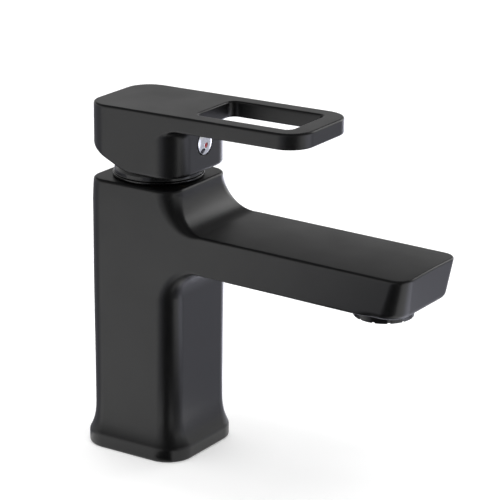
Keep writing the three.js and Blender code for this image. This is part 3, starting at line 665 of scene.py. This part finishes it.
def front_turned(name, profile, centre, angle=28):
    """A profile of (radius, distance forwards) turned about the front-to-back axis."""
    shape = bmesh.new()
    ring = [shape.verts.new((r * MM, 0, z * MM)) for r, z in profile]
    edges = [shape.edges.new((a, b)) for a, b in zip(ring, ring[1:])]
    bmesh.ops.spin(shape, geom=ring + edges, cent=(0, 0, 0), axis=(0, 0, 1), steps=72,
                   angle=2 * math.pi, use_merge=True, use_duplicate=False)
    bmesh.ops.remove_doubles(shape, verts=shape.verts, dist=1e-7)
    bmesh.ops.recalc_face_normals(shape, faces=shape.faces)
    shape.transform(TO_FRONT)
    return finished(name, shape, centre, angle)


def indicator_plug():
    sphere = (PLUG_RADIUS**2 + PLUG_CROWN**2) / (2 * PLUG_CROWN)
    reach = math.asin((PLUG_RADIUS - 0.35) / sphere)
    steps = 10
    crown = []
    for i in range(steps + 1):
        angle = reach * i / steps
        crown.append((sphere * math.sin(angle), sphere * math.cos(angle) - sphere + PLUG_CROWN))
    rim_z = crown[-1][1] - 0.35
    profile = crown + arc(PLUG_RADIUS - 0.35, rim_z, 0.35, 70, 0, 4)
    profile += [(PLUG_RADIUS, -PLUG_DEPTH), (0, -PLUG_DEPTH)]
    plug = front_turned("indicator_plug_chrome", profile, (0, -CUP_HALF_Y, SCREW_Z))
    for x, rise in (HOT_MARK, COLD_MARK):
        hole = [(0, 2), (MARK_RADIUS + 0.05, 2), (MARK_RADIUS + 0.05, -0.9), (0, -0.9)]
        cut_with(plug, front_turned("mark_hole", hole, (x, -CUP_HALF_Y, SCREW_Z + rise)))
    return plug


def enamel_mark(name, spot):
    x, rise = spot
    sphere = (PLUG_RADIUS**2 + PLUG_CROWN**2) / (2 * PLUG_CROWN)
    face = PLUG_CROWN - (x * x + rise * rise) / (2 * sphere) - 0.06
    edge = MARK_RADIUS - 0.03
    profile = [(0, face + 0.06), (edge * 0.6, face + 0.03), (edge - 0.12, face - 0.02), (edge, face - 0.15)]
    profile += [(edge, -0.6), (0, -0.6)]
    return front_turned(name, profile, (x, -CUP_HALF_Y, SCREW_Z + rise), 40)


# ---- Materials ----
def nodes_of(name):
    material = bpy.data.materials.new(name)
    material.use_nodes = True
    tree = material.node_tree
    return material, tree, tree.nodes["Principled BSDF"]


def add_node(tree, kind, **values):
    node = tree.nodes.new(kind)
    for key, value in values.items():
        if key in node.inputs:
            node.inputs[key].default_value = value
        else:
            setattr(node, key, value)
    return node


def object_point(tree):
    return add_node(tree, "ShaderNodeTexCoord").outputs["Object"]


def noise(tree, point, scale, detail=3.0, roughness=0.5):
    node = add_node(tree, "ShaderNodeTexNoise", Scale=scale, Detail=detail, Roughness=roughness)
    tree.links.new(point, node.inputs["Vector"])
    return node.outputs["Fac"]


def remap(tree, value, low, high, from_low=0.3, from_high=0.7):
    node = add_node(tree, "ShaderNodeMapRange")
    node.inputs["From Min"].default_value = from_low
    node.inputs["From Max"].default_value = from_high
    node.inputs["To Min"].default_value = low
    node.inputs["To Max"].default_value = high
    tree.links.new(value, node.inputs["Value"])
    return node.outputs["Result"]


def tint(tree, value, dark, light):
    ramp = add_node(tree, "ShaderNodeValToRGB")
    ramp.color_ramp.elements[0].color = (*dark, 1)
    ramp.color_ramp.elements[0].position = 0.3
    ramp.color_ramp.elements[1].color = (*light, 1)
    ramp.color_ramp.elements[1].position = 0.7
    tree.links.new(value, ramp.inputs["Fac"])
    return ramp.outputs["Color"]


def bump(tree, height, depth, strength=1.0):
    node = add_node(tree, "ShaderNodeBump", Distance=depth, Strength=strength)
    tree.links.new(height, node.inputs["Height"])
    return node.outputs["Normal"]


COAT_IOR = 1.5


def coated(name, dark, light, roughness, grain=0.000006, grain_scale=2600.0):
    """Powder-coated or plated metal: fine grain, slow drift of gloss and tone."""
    material, tree, shader = nodes_of(name)
    point = object_point(tree)
    slow = noise(tree, point, 60.0, 2.0)
    fine = noise(tree, point, grain_scale, 2.0)
    tree.links.new(tint(tree, fine, dark, light), shader.inputs["Base Color"])
    gloss = remap(tree, slow, roughness - 0.025, roughness + 0.025)
    tree.links.new(gloss, shader.inputs["Roughness"])
    tree.links.new(bump(tree, fine, grain), shader.inputs["Normal"])
    shader.inputs["IOR"].default_value = COAT_IOR
    return material


def machined(name, dark, light, roughness, stretch=(1.0, 1.0, 14.0), scale=500.0):
    """Metal with fine tool lines."""
    material, tree, shader = nodes_of(name)
    mapping = add_node(tree, "ShaderNodeMapping")
    mapping.inputs["Scale"].default_value = stretch
    tree.links.new(object_point(tree), mapping.inputs["Vector"])
    lines = noise(tree, mapping.outputs["Vector"], scale, 3.0)
    tree.links.new(tint(tree, lines, dark, light), shader.inputs["Base Color"])
    tree.links.new(remap(tree, lines, roughness - 0.04, roughness + 0.06), shader.inputs["Roughness"])
    tree.links.new(bump(tree, lines, 0.00001), shader.inputs["Normal"])
    shader.inputs["Metallic"].default_value = 1.0
    return material


def moulded(name, dark, light, roughness, grain=0.00001, scale=900.0):
    """Plastic, rubber, ceramic or enamel."""
    material, tree, shader = nodes_of(name)
    point = object_point(tree)
    fine = noise(tree, point, scale, 3.0)
    slow = noise(tree, point, 150.0, 2.0)
    tree.links.new(tint(tree, slow, dark, light), shader.inputs["Base Color"])
    tree.links.new(remap(tree, fine, roughness - 0.03, roughness + 0.03), shader.inputs["Roughness"])
    tree.links.new(bump(tree, fine, grain), shader.inputs["Normal"])
    return material


FINISHES = {
    "black_coat": coated("black_coat", (0.0024, 0.0024, 0.0026), (0.0042, 0.0042, 0.0045), 0.34),
    "black_collar": coated("black_collar", (0.003, 0.003, 0.0033), (0.005, 0.005, 0.0054), 0.18),
    "aerator_black": coated("aerator_black", (0.003, 0.003, 0.0033), (0.005, 0.005, 0.0054), 0.26),
    "brass": machined("brass", (0.55, 0.38, 0.16), (0.75, 0.55, 0.28), 0.28),
    "steel": machined("steel", (0.45, 0.46, 0.47), (0.66, 0.67, 0.68), 0.26),
    "chrome_plug": machined("chrome_plug", (0.62, 0.63, 0.65), (0.7, 0.71, 0.73), 0.12, (1, 1, 1), 900.0),
    "cartridge_plastic": moulded("cartridge_plastic", (0.66, 0.66, 0.62), (0.76, 0.76, 0.73), 0.45),
    "disc_ceramic": moulded("disc_ceramic", (0.78, 0.76, 0.7), (0.87, 0.85, 0.8), 0.18),
    "rubber": moulded("rubber", (0.008, 0.008, 0.008), (0.016, 0.016, 0.016), 0.7, 0.00003),
    "red_enamel": moulded("red_enamel", (0.36, 0.003, 0.006), (0.5, 0.006, 0.012), 0.2),
    "blue_enamel": moulded("blue_enamel", (0.002, 0.004, 0.014), (0.003, 0.007, 0.03), 0.2),
}


def dress(piece, slot):
    piece.data.materials.clear()
    piece.data.materials.append(FINISHES[slot])


def fit(piece, body, slot, *nodes):
    """Puts a new piece in the place of its CAD nodes."""
    dress(piece, slot)
    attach(piece, body)
    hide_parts(*nodes)


def in_mm(node):
    low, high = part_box(node)
    return tuple(low / MM), tuple(high / MM)


def build():
    fit(field_piece("body_coated", casting, *in_mm("body_casting")), "body", "black_coat", "body_casting")
    fit(field_piece("handle_coated", handle_field, *in_mm("handle")), "lever", "black_coat", "handle")
    fit(turned("collar_satin", collar_profile(), turns=128), "body", "black_collar", "collar_ring")
    fit(aerator_shell(), "body", "aerator_black", "aerator_shell")
    fit(woven_screen(), "body", "steel", "aerator_screen")
    fit(screen_rim(), "body", "steel", "aerator_screen")
    fit(indicator_plug(), "lever", "chrome_plug", "indicator_plug")
    fit(enamel_mark("mark_hot", HOT_MARK), "lever", "red_enamel", "hot_mark")
    fit(enamel_mark("mark_cold", COLD_MARK), "lever", "blue_enamel", "cold_mark")
    slots = {s["node"]: s["material_slot"] for s in frame["record"]["subparts"]}
    for node, piece in frame["nodes"].items():
        dress(piece, slots[node])


# ---- Stage ----
def plane(name, corners):
    mesh = bpy.data.meshes.new(name)
    mesh.from_pydata(corners, [], [(0, 1, 2, 3)])
    piece = link(name, mesh)
    return piece


FLOOR_REACH = 6.0  # in metres


def floor():
    r = FLOOR_REACH
    ground = plane("floor", [(-r, -r, 0), (r, -r, 0), (r, r, 0), (-r, r, 0)])
    material, tree, shader = nodes_of("floor_white")
    grain = noise(tree, object_point(tree), 30.0)
    tree.links.new(tint(tree, grain, (0.78, 0.78, 0.78), (0.8, 0.8, 0.8)), shader.inputs["Base Color"])
    shader.inputs["Roughness"].default_value = 0.9
    shader.inputs["Specular IOR Level"].default_value = 0.1
    shader.inputs["Emission Color"].default_value = (1, 1, 1, 1)
    shader.inputs["Emission Strength"].default_value = FLOOR_GLOW
    ground.data.materials.append(material)


CARD_TINT = (0.96, 0.97, 1.1, 1)


def floor_card(name, start, end, radiance, near=0.03, far=1.6, height=0.0004):
    """A glowing or dark sector of the floor, seen only in reflections. Azimuths from the front."""
    steps = 16
    points = []
    for radius, order in ((near, 1), (far, -1)):
        for i in range(steps + 1)[::order]:
            angle = (start + (end - start) * i / steps) * DEG
            points.append((radius * math.sin(angle), -radius * math.cos(angle), height))
    mesh = bpy.data.meshes.new(name)
    mesh.from_pydata(points, [], [tuple(range(len(points)))])
    card = link(name, mesh)
    material, tree, shader = nodes_of(name)
    shade = noise(tree, object_point(tree), 5.0)
    shader.inputs["Base Color"].default_value = (0, 0, 0, 1)
    shader.inputs["Specular IOR Level"].default_value = 0.0
    shader.inputs["Emission Color"].default_value = CARD_TINT
    tree.links.new(remap(tree, shade, 0.96 * radiance, 1.04 * radiance), shader.inputs["Emission Strength"])
    card.data.materials.append(material)
    card.visible_camera = False
    card.visible_diffuse = False
    card.visible_shadow = False


def area_light(name, position, target, size, power, glossy=True):
    light = bpy.data.lights.new(name, "AREA")
    light.shape = "RECTANGLE"
    light.size, light.size_y = size
    light.energy = power
    lamp = bpy.data.objects.new(name, light)
    bpy.context.scene.collection.objects.link(lamp)
    lamp.location = position
    lamp.rotation_mode = "QUATERNION"
    lamp.rotation_quaternion = (Vector(target) - Vector(position)).to_track_quat("-Z", "Y")
    lamp.visible_glossy = glossy
    lamp.visible_camera = False


FLOOR_GLOW = 0.3
HORIZON_LIGHT = 1.0
ZENITH_LIGHT = 0.1
ZENITH_START = 0.45  # sine of the elevation where the dim part of the sky begins
DARK_WALL_AZIMUTH = -50.0
DARK_WALL_LIGHT = 0.08
DARK_WALL_EDGES = (0.78, 0.92)  # cosines of the angle from the wall's middle


def world():
    """Bright near the horizon and dim overhead, with one dark wall."""
    sky = bpy.data.worlds.new("studio")
    bpy.context.scene.world = sky
    sky.use_nodes = True
    tree = sky.node_tree
    direction = add_node(tree, "ShaderNodeTexCoord").outputs["Generated"]
    split = add_node(tree, "ShaderNodeSeparateXYZ")
    tree.links.new(direction, split.inputs["Vector"])
    height = remap(tree, split.outputs["Z"], HORIZON_LIGHT, ZENITH_LIGHT, 0.0, ZENITH_START)
    angle = DARK_WALL_AZIMUTH * DEG
    towards = add_node(tree, "ShaderNodeVectorMath", operation="DOT_PRODUCT")
    towards.inputs[1].default_value = (math.sin(angle), -math.cos(angle), 0)
    tree.links.new(direction, towards.inputs[0])
    wall = remap(tree, towards.outputs["Value"], 1.0, DARK_WALL_LIGHT, *DARK_WALL_EDGES)
    light = add_node(tree, "ShaderNodeMath", operation="MULTIPLY")
    tree.links.new(height, light.inputs[0])
    tree.links.new(wall, light.inputs[1])
    background = tree.nodes["Background"]
    background.inputs["Color"].default_value = (1, 1, 1, 1)
    tree.links.new(light.outputs["Value"], background.inputs["Strength"])


def lights():
    area_light("overhead", (0, 0, 2.2), (0, 0, 0), (3.0, 3.0), 80, glossy=False)
    area_light("right_box", (1.4, -0.4, 0.7), (0, -0.03, 0.1), (0.8, 0.95), 5.6)


# ---- Camera ----
CAMERA_AZIMUTH = -57.0
CAMERA_ELEVATION = 18.19
CAMERA_ROLL = 0.48
CAMERA_DISTANCE = 1.00319
CAMERA_SIDE = 0.03728
CAMERA_AIM_Z = 0.08267
CAMERA_LENS = 176.2


def camera():
    a = CAMERA_AZIMUTH * DEG
    e = CAMERA_ELEVATION * DEG
    roll = CAMERA_ROLL * DEG
    back = Vector((math.sin(a) * math.cos(e), -math.cos(a) * math.cos(e), math.sin(e)))
    right = Vector((math.cos(a), math.sin(a), 0))
    up = back.cross(right)
    data = bpy.data.cameras.new("camera")
    data.sensor_width = 36
    data.lens = CAMERA_LENS
    data.clip_start = 0.05
    data.clip_end = 50
    eye = bpy.data.objects.new("camera", data)
    bpy.context.scene.collection.objects.link(eye)
    x_axis = right * math.cos(roll) + up * math.sin(roll)
    y_axis = up * math.cos(roll) - right * math.sin(roll)
    place = Matrix((x_axis, y_axis, back)).transposed().to_4x4()
    place.translation = back * CAMERA_DISTANCE + right * CAMERA_SIDE + Vector((0, 0, CAMERA_AIM_Z))
    eye.matrix_world = place
    bpy.context.scene.camera = eye


build()
floor()
floor_card("grey_left", -98.0, -78.0, 0.45, near=0.08)
floor_card("dark_front", -78.0, -21.0, 0.02, near=0.08)
floor_card("dark_near", -67.0, -45.0, 0.02, far=0.08)
floor_card("bright_strip", 6.0, 30.0, 1.9, near=0.05)
floor_card("grey_right", 30.0, 78.0, 0.62, near=0.05)
floor_card("bright_right", 78.0, 118.0, 3.2)
floor_card("grey_back", 126.0, 215.0, 0.35)
floor_card("dark_under", -30.0, 30.0, 0.12, near=0.055, far=0.135)
world()
lights()
camera()
bpy.context.scene.view_settings.view_transform = "Standard"
